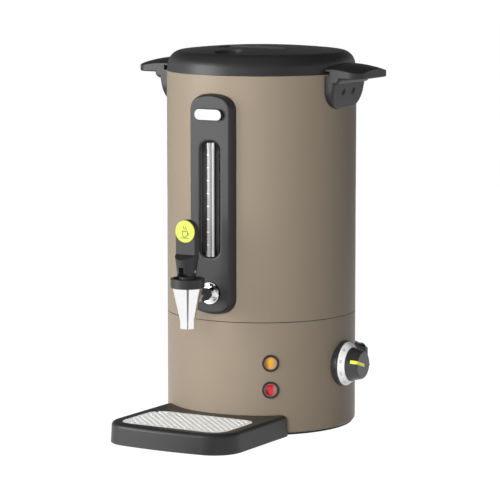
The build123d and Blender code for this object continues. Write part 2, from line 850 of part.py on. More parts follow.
# ---------------------------------------------------------------- tap
def tap_body():
    """Chromed casting: tapered chamber, spout and horizontal shank into the tank."""
    outside = [(0, spout_tip_z), (spout_r, spout_tip_z), (spout_r, cone_low_z),
               (cone_top_r, cone_top_z), (0, cone_top_z)]
    inside = [(0, seat_z), (chamber_low_r, seat_z),
              (chamber_top_r, cone_top_z - bonnet_spigot - 0.5), (chamber_top_r, cone_top_z + 1),
              (0, cone_top_z + 1)]
    body = Pos(0, -tap_place) * turned(outside)
    shank_end = tank_in_r - washer_t - tap_nut_t - 3
    body += facing(0, shank_z) * post(shank_r, shank_end, tap_place)
    body -= Pos(0, -tap_place) * turned(inside)
    body -= post(spout_bore_r, spout_tip_z - 1, seat_z + 1, 0, -tap_place)
    return body - facing(0, shank_z) * post(shank_bore_r, shank_end - 1, tap_place)


def tap_escutcheon():
    """Dished ring round the shank, curved to the drum at its back."""
    proud = panel_front + escutcheon_proud
    cup = facing(0, shank_z) * post(escutcheon_r, drum_r - 8, proud)
    cup -= drum_solid(drum_r)
    dish_r = 24.0
    cup -= facing(0, shank_z) * Pos(0, 0, proud + dish_r - 3.2) * Sphere(dish_r)
    return cup - facing(0, shank_z) * post(shank_r, drum_r - 10, proud + 5)


def tap_washer():
    ring = facing(0, shank_z) * (post(tap_nut_r + 1, tank_in_r - washer_t, tank_r)
                                 - post(shank_r, tank_in_r - 9, tank_r + 9))
    return ring & post(tank_in_r - skin_gap, 0, lid_top_z)


def tap_nut():
    face = tank_in_r - washer_t
    nut = Pos(0, 0, face - tap_nut_t) * extrude(RegularPolygon(tap_nut_r, 6), tap_nut_t)
    return facing(0, shank_z) * (nut - post(shank_r, 0, tank_r))


def tap_bonnet():
    """Screw cap of the chamber; the boss in its well carries the foot of the lever."""
    well_z = bonnet_top_z - bonnet_well
    cap = post(bonnet_r, cone_top_z, bonnet_top_z)
    cap = fillet(cap.edges().filter_by(GeomType.CIRCLE), 1.0)
    cap += post(chamber_top_r - 0.1, cone_top_z - bonnet_spigot, cone_top_z + 1)
    cap -= pipe(bonnet_r - bonnet_rim, bonnet_boss_r, well_z, bonnet_top_z + 1)
    cap += post(bonnet_boss_r, well_z, bonnet_boss_z)
    cap -= post(stem_r + stem_play, cone_top_z - 20, lid_top_z)
    return Pos(0, -tap_place) * cap


def tap_stem():
    """Rod with an eye for the lever pin and a flange that the spring presses on."""
    flange_low = seat_z + seat_cup_h
    stem = post(stem_r, seat_z + 1.5, pin_z)
    stem += post(spring_r + spring_wire_r, flange_low, flange_low + stem_flange_t)
    stem += Pos(0, 0, pin_z) * Rot(0, 90, 0) * Cylinder(stem_eye_r, 2 * stem_r)
    stem -= Pos(0, 0, pin_z) * Rot(0, 90, 0) * Cylinder(pin_r + pin_play, 4 * stem_r)
    return Pos(0, -tap_place) * stem


def tap_seat_cup():
    cup = post(seat_cup_r, seat_z, seat_z + seat_cup_h)
    return Pos(0, -tap_place) * (cup - post(stem_r, seat_z + 1.5, cone_top_z))


def tap_spring():
    low = seat_z + seat_cup_h + stem_flange_t + spring_wire_r + 0.1
    high = cone_top_z - bonnet_spigot - spring_wire_r - 0.1
    path = Helix(pitch=(high - low) / spring_turns, height=high - low, radius=spring_r)
    section = Plane(path @ 0, z_dir=path % 0) * Circle(spring_wire_r)
    return Pos(0, -tap_place, low) * sweep(section, path=path, is_frenet=True)


# ---------------------------------------------------------------- lever
def tap_lever():
    """Paddle with a disc seat over a tapered hub that is slotted for the stem's eye."""
    hub_low = bonnet_boss_z + hub_low_gap
    nose = hub_half - hub_front
    back = Pos(0, (hub_back + nose) / 2) * Rectangle(2 * hub_half, hub_back - nose)
    back = fillet(back.vertices().filter_by(lambda v: v.Y > hub_back - 0.01), 2.5)
    plan = back + Pos(0, nose) * Circle(hub_half)
    hub = Pos(0, 0, hub_top_z) * extrude(plan, -(hub_top_z - hub_low), taper=hub_taper)
    ramp = [(-lever_front, hub_top_z), (-hub_front, hub_rim_z), (-hub_front * 2, hub_rim_z),
            (-hub_front * 2, hub_top_z + 1), (-lever_front, hub_top_z + 1)]
    hub -= prism_x(ramp, hub_half * 2)
    heel = [(-toe_front, hub_low), (-hub_front * 1.2, hub_low + 9), (-hub_front * 1.2, hub_low - 5),
            (-toe_front, hub_low - 5)]
    hub -= prism_x(heel, hub_half * 2)
    face = Pos(0, lever_disc_z) * Circle(lever_half)
    face += Pos(0, (hub_rim_z + lever_disc_z) / 2) * Rectangle(2 * lever_half,
                                                              lever_disc_z - hub_rim_z)
    paddle = Pos(0, lever_back) * extrude(Plane.XZ * face, lever_back + lever_front)
    paddle = fillet(paddle.edges().group_by(Axis.Y)[0] + paddle.edges().group_by(Axis.Y)[-1],
                    lever_edge_r)
    lever = hub + paddle
    slot = block(-lever_slot_half, lever_slot_half, -hub_front - 5, stem_eye_r + 0.4, hub_low - 5,
                 lever_slot_top)
    lever -= slot
    lever -= Pos(0, 0, pin_z) * Rot(0, 90, 0) * Cylinder(pin_r, 4 * hub_half)
    seat = Pos(0, -lever_front + button_sink, lever_disc_z) * Rot(90, 0, 0)
    lever -= seat * Cylinder(button_r, 10, align=CENTRE_LOW)
    return Pos(0, -tap_place) * lever


def lever_pin():
    half = hub_half - (hub_top_z - pin_z) * math.tan(math.radians(hub_taper)) + 0.2
    return Pos(0, -tap_place, pin_z) * Rot(0, 90, 0) * Cylinder(pin_r, 2 * half)


def lever_button():
    seat = Pos(0, -tap_place - lever_front + button_sink, lever_disc_z) * Rot(90, 0, 0)
    disc = Cylinder(button_r, button_t, align=CENTRE_LOW)
    disc = fillet(disc.edges().sort_by(Axis.Z)[-1], 0.5)
    return seat * disc


# ---------------------------------------------------------------- knob and dial
def dial_bezel():
    bezel = post(bezel_r, drum_r - 8, bezel_face)
    bezel = fillet(bezel.edges().sort_by(Axis.Z)[-1], 1.2)
    bezel -= post(bezel_hollow_r, nut_seat, bezel_face + 1)
    bezel -= post(bush_r, 0, bezel_face)
    return facing(90, dial_z) * bezel - drum_solid(drum_r)


def dial_ring():
    ring = post(ring_low_r, bezel_face, ring_face)
    cone = turned([(0, bezel_face), (ring_low_r, bezel_face), (ring_top_r, ring_face),
                   (0, ring_face)])
    return facing(90, dial_z) * ((ring & cone) - post(bezel_hollow_r, 0, ring_face + 1))


def knob_form(grow=0.0):
    low = ring_face + knob_gap
    body = turned([(0, low), (knob_low_r + grow, low), (knob_top_r + grow, knob_face + grow),
                   (0, knob_face + grow)])
    return fillet(body.edges().sort_by(Axis.Z)[-1], knob_edge_r + grow)


def pointer_zone():
    """Thin slab from the knob's centre towards the dial, stopping short of the knob's foot."""
    low = ring_face + knob_gap
    stop = low + (knob_face - low) * 0.42
    slab = block(-knob_low_r * 2, pointer_w / 2, -pointer_w / 2, pointer_w / 2, stop, knob_face + 9)
    return Rot(0, 0, -pointer_deg) * slab


def knob():
    low = ring_face + knob_gap
    shell = knob_form()
    cavity = turned([(0, low - 1), (knob_low_r - knob_wall, low - 1), (knob_low_r - knob_wall, low),
                     (knob_top_r - knob_wall, knob_face - knob_wall), (0, knob_face - knob_wall)])
    cavity -= post(knob_hub_r, low - 2, knob_face)
    shell -= cavity
    shell -= post(shaft_r, low - 2, knob_face - knob_wall)
    shell -= pointer_zone() - knob_form(-pointer_sink)
    return facing(90, dial_z) * shell


def knob_pointer():
    strip = pointer_zone() & knob_form(pointer_proud)
    return facing(90, dial_z) * (strip - knob_form(-pointer_sink))


def thermostat_shaft():
    end = knob_face - knob_wall
    return facing(90, dial_z) * post(shaft_r, thermostat_face - thermostat_d / 2, end)


def thermostat_body():
    half = thermostat_w / 2
    body = block(-half, half, -half, half, thermostat_face - thermostat_d, thermostat_face)
    body += post(bush_r + 3, thermostat_face, shell_in_r - 0.3)
    body += post(bush_r, thermostat_face, nut_seat + dial_nut_t + 1)
    body -= post(shaft_r + shaft_play, thermostat_face - thermostat_d / 2 - 0.5, drum_r + 20)
    for side in (-1, 1):
        body += block(side * 8 - 3, side * 8 + 3, -0.4, 0.4, thermostat_face - thermostat_d - 7,
                      thermostat_face - thermostat_d)
    return facing(90, dial_z) * body


def dial_nut():
    nut = Pos(0, 0, nut_seat) * extrude(RegularPolygon(dial_nut_r, 6), dial_nut_t)
    return facing(90, dial_z) * (nut - post(bush_r, 0, drum_r + 20))


def thermostat_capillary():
    """Copper capillary from the thermostat to a bulb clamped under the tank."""
    start_z = dial_z + thermostat_w / 2
    start_x = thermostat_face - thermostat_d / 2
    bulb_z = tank_bottom_z - bulb_r - skin_gap
    bulb_y = -bulb_length / 2
    step = capillary_step
    route = [(start_x, 0, start_z), (start_x, 0, start_z + step),
             (start_x - step / 6, -step / 6, start_z + 2 * step),
             (start_x - step / 2, -step / 2, bulb_z - step),
             (bulb_x + bulb_r, bulb_y * 0.6, bulb_z - capillary_r), (bulb_x, bulb_y, bulb_z)]
    radii = []
    for before, at, after in zip(route, route[1:], route[2:]):
        run_in = Vector(*at) - Vector(*before)
        run_out = Vector(*after) - Vector(*at)
        turn = math.radians(run_in.get_angle(run_out))
        radii.append(0.45 * min(run_in.length, run_out.length) / math.tan(turn / 2))
    path = FilletPolyline(*route, radius=radii)
    tube = sweep(Plane(path @ 0, z_dir=path % 0) * Circle(capillary_r), path=path)
    bulb = Pos(bulb_x, bulb_y + capillary_r, bulb_z) * Rot(90, 0, 0)
    bulb *= Cylinder(bulb_r, bulb_length, align=CENTRE_LOW)
    return tube + bulb


# ---------------------------------------------------------------- lamps
def lamp_spots(*heights):
    for height in heights or (amber_z, red_z):
        yield facing(lamp_azimuth, height)


def lamp_bezels():
    bezels = []
    for spot in lamp_spots():
        ring = post(lamp_bezel_r, drum_r - 5, drum_r + lamp_bezel_proud)
        ring = fillet(ring.edges().sort_by(Axis.Z)[-1], 0.8)
        bezels.append(spot * (ring - post(lamp_body_r, 0, drum_r + 9)) - drum_solid(drum_r))
    return Compound(bezels)


def lamp_bodies():
    """Bright sleeves with two terminals; each front pocket holds a lens."""
    bodies = []
    face = drum_r + lamp_bezel_proud - 0.4
    for spot in lamp_spots():
        body = post(lamp_body_r, face - lamp_length, face) - post(lamp_lens_r, face - 4, face + 1)
        for side in (-1, 1):
            body += block(side * 3 - 1.4, side * 3 + 1.4, -0.4, 0.4, face - lamp_length - 7,
                          face - lamp_length)
        bodies.append(spot * body)
    return Compound(bodies)


def lens(height):
    face = drum_r + lamp_bezel_proud - 0.4
    dome_r = (lamp_lens_r ** 2 + lens_rise ** 2) / (2 * lens_rise)
    body = post(lamp_lens_r, face - 4, face + lens_rise)
    body &= Pos(0, 0, face + lens_rise - dome_r) * Sphere(dome_r)
    return facing(lamp_azimuth, height) * body


# ---------------------------------------------------------------- switch
def switch_cut(play):
    return block(-switch_body_w / 2 - play, switch_body_w / 2 + play, -switch_body_h / 2 - play,
                 switch_body_h / 2 + play, tank_r - 20, drum_r + 5)


def switch_housing():
    """Flared shroud: wide foot on the drum, narrow rim round the rocker."""
    foot = drum_r - 6
    stations = [(0.0, foot), (0.0, drum_r - 1.0), (0.62, drum_r + 4.5), (0.92, drum_r + 8.5),
                (1.0, switch_neck)]
    sections = []
    for share, place in stations:
        width = switch_base_w + (switch_neck_w - switch_base_w) * share
        height = switch_base_h + (switch_neck_h - switch_base_h) * share
        sections.append(Pos(0, 0, place) * RectangleRounded(width, height, 3.0))
    body = loft(sections, ruled=True)
    pocket = Pos(0, 0, foot - 1) * extrude(
        RectangleRounded(switch_neck_w - 2 * switch_wall, switch_neck_h - 2 * switch_wall, 0.8),
        switch_neck)
    body -= pocket
    body -= Pos(0, 0, rocker_pivot) * Rot(0, 90, 0) * Cylinder(rocker_pin_r + pin_play,
                                                              switch_base_w * 2)
    return facing(switch_azimuth, switch_z) * body - drum_solid(drum_r)


def rocker_place():
    return facing(switch_azimuth, switch_z) * Pos(0, 0, rocker_pivot)


def switch_rocker():
    """Rocker with moulded trunnions; its ends are round about the pivot."""
    half_w = switch_neck_w / 2 - switch_wall - 0.4
    front = rocker_face - rocker_pivot
    body = Rot(0, 90, 0) * Cylinder(rocker_r, 2 * half_w)
    keep = [(-rocker_r, -3.5), (rocker_r, -3.5), (rocker_r, front), (0, front - 1.6),
            (-rocker_r, front)]
    body &= prism_x(keep, half_w)
    body += Rot(0, 90, 0) * Cylinder(rocker_pin_r, switch_neck_w - 1.0)
    return rocker_place() * Rot(-rocker_tilt, 0, 0) * body


def switch_body():
    rear = drum_r - 3 - switch_body_depth
    front = rocker_pivot - 3.5 - 2.6
    body = block(-switch_body_w / 2, switch_body_w / 2, -switch_body_h / 2, switch_body_h / 2,
                 rear, front)
    for level in (-8, 0, 8):
        body += block(-3, 3, level - 0.4, level + 0.4, rear - 8, rear)
    return facing(switch_azimuth, switch_z) * body


# ---------------------------------------------------------------- cord inlet
def cord_gland():
    """Bush in the rear wall; its bore takes the supply cord."""
    flange = facing(180, gland_z) * post(gland_flange_r, drum_r - 4, drum_r + 4) - drum_solid(drum_r)
    barrel = facing(180, gland_z) * post(gland_r, drum_r - gland_length, drum_r + 4)
    return flange + barrel - facing(180, gland_z) * post(gland_bore_r, 0, drum_r + 5)


def terminal_block():
    top = plate_z + plate_t + block_h
    body = block(-block_w / 2, block_w / 2, block_y - block_d / 2, block_y + block_d / 2,
                 plate_z + plate_t, top)
    for i in (-1, 0, 1):
        body -= post(2.2, top - 6, top + 1, i * 10, block_y)
    return body


# ---------------------------------------------------------------- drip tray
def tray_plan():
    """Tray outline with a bowed front, before the drum is cut out of its rear."""
    rear, nose = -tray_rear, -tray_front + tray_bow
    outline = [Line((tray_half_back, rear), (-tray_half_back, rear)),
               Line((-tray_half_back, rear), (-tray_half_front, nose)),
               ThreePointArc((-tray_half_front, nose), (0, -tray_front), (tray_half_front, nose)),
               Line((tray_half_front, nose), (tray_half_back, rear))]
    face = make_face(outline)
    face = fillet(face.vertices().filter_by(lambda v: v.Y < nose + 1), tray_corner_r)
    return fillet(face.vertices().filter_by(lambda v: v.Y > rear - 1), tray_rear_r)


def grille_plan(grow=0.0):
    """Outline of the grille, or the same outline let out or set in."""
    back, front = -grille_back + grow, -grille_front - grow
    half = grille_half + grow
    face = Pos(0, (back + front) / 2) * Rectangle(2 * half, back - front)
    near = face.vertices().filter_by(lambda v: v.Y < (back + front) / 2)
    face = fillet(near, grille_front_r + grow)
    far = face.vertices().filter_by(lambda v: v.Y > back - 0.01)
    return fillet(far, max(grille_back_r + grow, 1.0))


def drip_tray():
    tray = extrude(tray_plan(), tray_h, taper=tray_draft)
    top_edges = tray.edges().group_by(Axis.Z)[-1]
    tray = fillet(top_edges, tray_edge_r)
    tray -= drum_solid(drum_r + tray_rear_gap)
    tray -= Pos(0, 0, grille_z) * extrude(grille_plan(grille_play), tray_h)
    tray -= Pos(0, 0, tray_wall) * extrude(grille_plan(-grille_ledge), tray_h)
    return tray


def drip_grille():
    """Perforated sheet; every second row of holes is shifted by half a pitch."""
    columns = int((grille_half - grille_ledge - 2) // hole_pitch)
    middle = (grille_back + grille_front) / 2
    rows = int(((grille_front - grille_back) / 2 - grille_ledge - 2) // (hole_pitch / 2))
    holes = []
    for row in range(-rows, rows + 1):
        shift = hole_pitch / 2 if row % 2 else 0
        for column in range(-columns - 1, columns + 1):
            x = column * hole_pitch + shift
            inside = grille_half - grille_ledge - 1
            if abs(x) <= inside - (6 if row < -rows + 3 else 0):
                holes.append(Pos(x, -middle + row * hole_pitch / 2) * Circle(hole_r))
    return Pos(0, 0, grille_z) * extrude(grille_plan() - holes, grille_t)


PIECES = {
    "upper_shell": upper_shell, "lower_shell": lower_shell, "joining_ring": joining_ring,
    "base_plate": base_plate, "foot_ring": foot_ring, "tie_studs": tie_studs, "tie_nuts": tie_nuts,
    "tank_jacket": tank_jacket, "tank_floor": tank_floor,
    "heater_plate": heater_plate, "heater_element": heater_element,
    "heat_shield": heat_shield, "thermal_cutout": thermal_cutout,
    "lid_shell": lid_shell, "steam_vent": steam_vent, "lid_liner": lid_liner,
    "lid_gasket": lid_gasket, "lid_screws": lid_screws,
    "handle_right": lambda: Rot(0, 0, 90) * handle(), "handle_left": lambda: Rot(0, 0, -90) * handle(),
    "handle_screws": handle_screws, "handle_backing_plates": handle_backing_plates,
    "gauge_panel": gauge_panel, "badge_plate": badge_plate, "gauge_trough": gauge_trough,
    "sight_glass": sight_glass, "gauge_top_cap": gauge_top_cap, "gauge_elbow": gauge_elbow,
    "panel_screws": panel_screws,
    "tap_body": tap_body, "tap_escutcheon": tap_escutcheon, "tap_washer": tap_washer,
    "tap_nut": tap_nut, "tap_bonnet": tap_bonnet, "tap_stem": tap_stem,
    "tap_seat_cup": tap_seat_cup, "tap_spring": tap_spring,
    "tap_lever": tap_lever, "lever_pin": lever_pin, "lever_button": lever_button,
    "dial_bezel": dial_bezel, "dial_ring": dial_ring, "dial_nut": dial_nut, "knob": knob,
    "knob_pointer": knob_pointer, "thermostat_shaft": thermostat_shaft,
    "thermostat_body": thermostat_body, "thermostat_capillary": thermostat_capillary,
    "lamp_bezels": lamp_bezels, "lamp_bodies": lamp_bodies, "amber_lens": lambda: lens(amber_z),
    "red_lens": lambda: lens(red_z),
    "switch_housing": switch_housing, "switch_rocker": switch_rocker, "switch_body": switch_body,
    "cord_gland": cord_gland, "terminal_block": terminal_block,
    "drip_tray": drip_tray, "drip_grille": drip_grille,
}

for name, make in PIECES.items():
    export_step(make(), f"parts/{name}.step")
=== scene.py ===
"""Finishes, printed marks and studio for a hot water urn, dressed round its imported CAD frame.

Lengths are metres in the frame's own axes: +Z up, -Y towards the tap, +X towards the temperature knob.
A turn is an angle about an upright axis, from the tap's side towards the knob's. Tones are pairs of
linear colours, and a finish drifts from the first to the second.
"""
import math

import bpy
import numpy as np
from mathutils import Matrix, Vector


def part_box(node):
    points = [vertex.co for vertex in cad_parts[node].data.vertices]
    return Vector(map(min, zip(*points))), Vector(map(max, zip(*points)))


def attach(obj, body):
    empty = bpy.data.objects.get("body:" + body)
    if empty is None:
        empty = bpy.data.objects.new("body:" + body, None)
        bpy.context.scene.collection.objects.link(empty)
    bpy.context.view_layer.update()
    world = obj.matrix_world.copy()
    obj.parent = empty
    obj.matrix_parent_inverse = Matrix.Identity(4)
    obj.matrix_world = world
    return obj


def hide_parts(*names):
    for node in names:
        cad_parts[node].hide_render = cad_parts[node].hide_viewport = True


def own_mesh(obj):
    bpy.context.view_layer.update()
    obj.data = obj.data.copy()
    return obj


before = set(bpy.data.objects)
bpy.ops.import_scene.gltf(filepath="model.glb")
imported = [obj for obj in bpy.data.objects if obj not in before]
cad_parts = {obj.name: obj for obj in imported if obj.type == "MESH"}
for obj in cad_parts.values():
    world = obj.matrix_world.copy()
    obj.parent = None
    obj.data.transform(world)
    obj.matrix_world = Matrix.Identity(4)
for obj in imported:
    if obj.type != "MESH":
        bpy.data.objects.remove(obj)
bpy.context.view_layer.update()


# ---------------------------------------------------------------- painted shells
# Two drums of rolled steel sheet, powder-coated in a satin taupe. The coat has a faint orange peel,
# a slight drift in tone from the oven, and a fine grain of pigment.
class Wire:
    """An output of a shader node. Sums and products of wires add Math nodes beside it."""

    def __init__(self, wiring, socket):
        self.wiring = wiring
        self.socket = socket

    def __getitem__(self, output):
        """Another output of the same node, by its name or number."""
        return Wire(self.wiring, self.socket.node.outputs[output])

    def maths(self, operation, *values):
        return self.wiring.node("ShaderNodeMath", {"operation": operation}, dict(enumerate(values)))

    def __add__(self, other):
        return self.maths("ADD", self, other)

    def __sub__(self, other):
        return self.maths("SUBTRACT", self, other)

    def __rsub__(self, other):
        return self.maths("SUBTRACT", other, self)

    def __mul__(self, other):
        return self.maths("MULTIPLY", self, other)

    __radd__ = __add__
    __rmul__ = __mul__

    def ramp(self, low, high, first, last, course="LINEAR"):
        """Value that is first where this wire is at low or under it, and last from high upwards."""
        return self.wiring.node("ShaderNodeMapRange", {"interpolation_type": course},
                                dict(enumerate((self, low, high, first, last))))

    def towards(self, turn, x=0.0, y=0.0):
        """How far the point on this wire lies towards turn, from the upright axis at x and y.

        It is the point's x, less that of the axis, times the sine of turn, minus its y, less that of
        the axis, times the cosine.
        """
        point = self.wiring.node("ShaderNodeSeparateXYZ", {}, {0: self})
        return (point[0] - x) * math.sin(turn) - (point[1] - y) * math.cos(turn)


class Wiring:
    """A tree of shader nodes as it is put together."""

    def __init__(self, tree):
        self.tree = tree

    def node(self, kind, settings, sockets, output=0):
        """Adds a node: its settings first, then what its sockets hold, by their names or numbers.

        A ramp's setting is its stops, which are pairs of a place and a grey tone.
        """
        node = self.tree.nodes.new(kind)
        for name, value in settings.items():
            if name == "stops":
                self.place_stops(node.color_ramp.elements, value)
            else:
                setattr(node, name, value)
        for key, value in sockets.items():
            self.feed(node.inputs[key], value)
        return Wire(self, node.outputs[output])

    def place_stops(self, elements, stops):
        """Gives a ramp as many elements as there are stops, and each its place and tone."""
        while len(elements) < len(stops):
            elements.new(0.5)
        for element, (place, tone) in zip(elements, stops):
            element.position = place
            element.color = (tone, tone, tone, 1.0)

    def feed(self, socket, value):
        """Links a wire to a socket, or gives the socket a value of its own."""
        if isinstance(value, Wire):
            self.tree.links.new(value.socket, socket)
        elif socket.type == "RGBA":
            socket.default_value = (*value, 1.0)
        else:
            socket.default_value = value

    def mix(self, share, first, second):
        """Colour between first, where share is 0, and second, where it is 1."""
        sockets = {0: share, 6: first, 7: second}
        return self.node("ShaderNodeMix", {"data_type": "RGBA"}, sockets, output=2)


class Finish(Wiring):
    """A material as it is mixed: one Principled shader and the nodes that feed it."""

    socket_names = {"ior": "IOR", "transmission": "Transmission Weight", "coat": "Coat Weight",
                    "specular": "Specular IOR Level"}

    def __init__(self, name, **settings):
        self.material = bpy.data.materials.new(name)
        self.material.use_nodes = True
        super().__init__(self.material.node_tree)
        self.shader = self.tree.nodes["Principled BSDF"]
        self.place = self.node("ShaderNodeTexCoord", {}, {}, output="Object")
        self.set(**settings)

    def set(self, **settings):
        """Sets the shader's sockets; base_color names the socket Base Color, and so on."""
        for name, value in settings.items():
            socket = self.socket_names.get(name) or name.replace("_", " ").title()
            self.feed(self.shader.inputs[socket], value)

    def noise(self, size, detail=2.0, stretch=(1.0, 1.0, 1.0)):
        """Soft noise from 0 to 1 whose lumps are about size metres across, drawn out by stretch."""
        spread = tuple(1.0 / (size * s) for s in stretch)
        point = self.node("ShaderNodeMapping", {}, {"Vector": self.place, "Scale": spread})
        return self.node("ShaderNodeTexNoise", {}, {"Vector": point, "Scale": 1.0, "Detail": detail})

    def drift(self, tones, size, detail=2.0):
        """Colours the finish from one tone to the other in lumps of size, and returns their noise."""
        lumps = self.noise(size, detail)
        self.set(base_color=self.mix(lumps, *tones))
        return lumps

    def relief(self, height, depth):
        """Normal of a surface that stands up by depth metres where height is 1."""
        return self.node("ShaderNodeBump", {}, {"Height": height, "Distance": depth, "Strength": 1.0})

    def dress(self, *nodes):
        """Puts this finish on CAD nodes, in place of the plain one they were packed with."""
        for name in nodes:
            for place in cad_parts[name].material_slots:
                place.material = self.material


taupe_tones = (0.243, 0.198, 0.148), (0.256, 0.209, 0.155)
oven_patch = 0.09
pigment_grain = 0.0007
peel_size = 0.0016
peel_depth = 0.00004
paint_roughness = 0.36
paint = Finish("taupe_paint", coat=0.06, coat_roughness=0.3, specular=0.15)
oven = paint.noise(oven_patch, 3.0)
pigment = paint.noise(pigment_grain, 1.0)
paint.set(base_color=paint.mix(oven * 0.5 + pigment * 0.25, *taupe_tones),
          roughness=oven * 0.05 + pigment * 0.04 + paint_roughness,
          normal=paint.relief(paint.noise(peel_size), peel_depth))
paint.dress("upper_shell", "lower_shell")


# ---------------------------------------------------------------- charcoal mouldings
# Lid, handles, gauge panel, tap lever, bonnet and drip tray: glass-filled nylon from a spark-eroded
# mould, so the skin has a fine even grain that dulls what it mirrors.
charcoal_tones = (0.014, 0.014, 0.015), (0.021, 0.021, 0.022)
charcoal_roughness = 0.40
flow_size = 0.035
flow_stretch = (1.0, 1.0, 2.5)
dulled_by_skin = 0.10
dulled_by_flow = 0.06


def moulding(name, tones, roughness, grain=0.00045, depth=0.00003):
    """Moulded plastic with a spark-eroded grain and faint flow marks from the mould."""
    plastic = Finish(name, specular=0.4)
    skin = plastic.noise(grain)
    flow = plastic.noise(flow_size, stretch=flow_stretch)
    smoothest = roughness - (dulled_by_skin + dulled_by_flow) / 2
    plastic.set(base_color=plastic.mix(flow * 0.6 + skin * 0.3, *tones),
                roughness=skin * dulled_by_skin + flow * dulled_by_flow + smoothest,
                normal=plastic.relief(skin, depth))
    return plastic


nylon = moulding("charcoal_nylon", charcoal_tones, charcoal_roughness)
nylon.dress("lid_shell", "steam_vent", "handle_right", "handle_left", "gauge_panel", "drip_tray",
            "tap_lever", "tap_bonnet")


# ---------------------------------------------------------------- knob and bezel
# The temperature knob and the ring it turns in come from a smoother mould than the rest and are a
# shade paler. A thin lacquer gives them a soft shine.
knob_tones = (0.024, 0.024, 0.025), (0.034, 0.034, 0.035)
knob_roughness = 0.30
knob_grain = 0.0003
knob_nylon = moulding("knob_nylon", knob_tones, knob_roughness, knob_grain)
knob_nylon.set(coat=0.35, coat_roughness=0.2)
knob_nylon.dress("knob", "dial_bezel")


# ---------------------------------------------------------------- black mouldings
# Seam band, switch body and cord gland are plain black polyamide. The lamp rings and the switch
# housing are polished, because they show round the controls.
black_tones = (0.010, 0.010, 0.011), (0.016, 0.016, 0.017)
dull_roughness = 0.45
gloss_roughness = 0.22
gloss_depth = 0.00001
dull_black = moulding("dull_black_nylon", black_tones, dull_roughness)
dull_black.dress("joining_ring", "switch_body", "cord_gland")
gloss_black = moulding("gloss_black_nylon", black_tones, gloss_roughness, depth=gloss_depth)
gloss_black.dress("lamp_bezels", "switch_housing")


# ---------------------------------------------------------------- tank and lid liner
# Stainless sheet, brushed round and round, so its gloss is drawn out along one direction. The tank's
# jacket is rolled, its floor is welded in, and the pressed liner closes the lid from below.
steel_tones = (0.60, 0.595, 0.58), (0.72, 0.715, 0.70)
scratch_width = 0.0004
scratch_depth = 0.00001
steel_patch = 0.05


def brushed(name, roughness, stretch):
    """Brushed metal: scratches are noise drawn out along the stretched axes."""
    metal = Finish(name, metallic=1.0)
    scratch = metal.noise(scratch_width, 3.0, stretch)
    patch = metal.noise(steel_patch)
    metal.set(base_color=metal.mix(scratch * 0.6 + patch * 0.3, *steel_tones),
              roughness=scratch * 0.12 + patch * 0.05 + roughness,
              normal=metal.relief(scratch, scratch_depth))
    return metal


tank_steel = brushed("tank_steel", 0.20, (30.0, 30.0, 1.0))
tank_steel.dress("tank_jacket", "tank_floor", "lid_liner")


# ---------------------------------------------------------------- drip grille
# A punched steel sheet that rests in the tray. It has a pale, even satin finish that mirrors hardly
# anything.
grille_tones = (0.90, 0.90, 0.89), (0.96, 0.96, 0.95)
grille_patch = 0.02
grille_steel = brushed("grille_steel", 0.30, (3.0, 1.0, 1.0))
grille_steel.set(metallic=0.1)
grille_steel.drift(grille_tones, grille_patch)
grille_steel.dress("drip_grille")


# ---------------------------------------------------------------- tap in polished chrome
# Turned brass casting with its shank, and the dished ring on the panel: bright chrome plate with
# only a breath of haze from wiping.
chrome_tones = (0.84, 0.84, 0.85), (0.90, 0.90, 0.90)
haze_patch = 0.006
polish_wave = 0.004
polish_depth = 0.000004
chrome = Finish("tap_chrome", metallic=1.0)
haze = chrome.drift(chrome_tones, haze_patch, 3.0)
chrome.set(roughness=haze * 0.05 + 0.04,
           normal=chrome.relief(chrome.noise(polish_wave, 1.0), polish_depth))
chrome.dress("tap_body", "tap_escutcheon")


# ---------------------------------------------------------------- zinc-plated steel
# Screws, nuts, studs, plates and springs: mild steel with bright zinc plating, which has small pale
# spangles and a slight blue cast.
zinc_tones = (0.50, 0.52, 0.55), (0.66, 0.67, 0.68)
spangles_per_metre = 700.0
spangle_depth = 0.00001
zinc = Finish("zinc_plate", metallic=1.0)
spangle = zinc.node("ShaderNodeTexVoronoi", {}, {"Vector": zinc.place, "Scale": spangles_per_metre})
zinc.set(base_color=zinc.mix(spangle, *zinc_tones),
         roughness=spangle * 0.18 + 0.26,
         normal=zinc.relief(spangle, spangle_depth))
zinc.dress("base_plate", "tie_studs", "tie_nuts", "heat_shield", "handle_backing_plates",
           "panel_screws", "lid_screws", "dial_nut", "tap_nut", "tap_stem", "lever_pin",
           "thermostat_shaft", "thermal_cutout", "heater_element")


# ---------------------------------------------------------------- handle screws
# Steel screws sunk in the handles' faces and turned into plates inside the drum. They are blackened,
# so that they don't show in the charcoal.
blackened_tones = (0.02, 0.02, 0.021), (0.05, 0.05, 0.05)
blackened = moulding("blackened_screws", blackened_tones, 0.35)
blackened.set(metallic=0.8)
blackened.dress("handle_screws")


# ---------------------------------------------------------------- gauge tube
# A borosilicate tube stands in a channel behind the panel's window, held by a clear cap and elbow.
# Painted reflection in the tube's colour: upright bands, grey and bright, with dark edges and a dark
# line.
glass_low, glass_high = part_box("sight_glass")
glass_r = (glass_high.x - glass_low.x) / 2
glass_y = (glass_high.y + glass_low.y) / 2
painted_bands_turn = math.radians(30.0)
painted_reflection_bands = ((0.06, 0.03), (0.14, 0.36), (0.46, 0.36), (0.53, 0.08),
               (0.58, 0.08), (0.65, 0.95), (0.86, 0.95), (0.93, 0.04))
draw_width = 0.0006
draw_stretch = (1.0, 1.0, 60.0)
draw_depth = 0.000004
glass = Finish("gauge_glass", transmission=0.12, ior=1.47, roughness=0.03, specular=0.5)
draw_lines = glass.noise(draw_width, 1.0, draw_stretch)
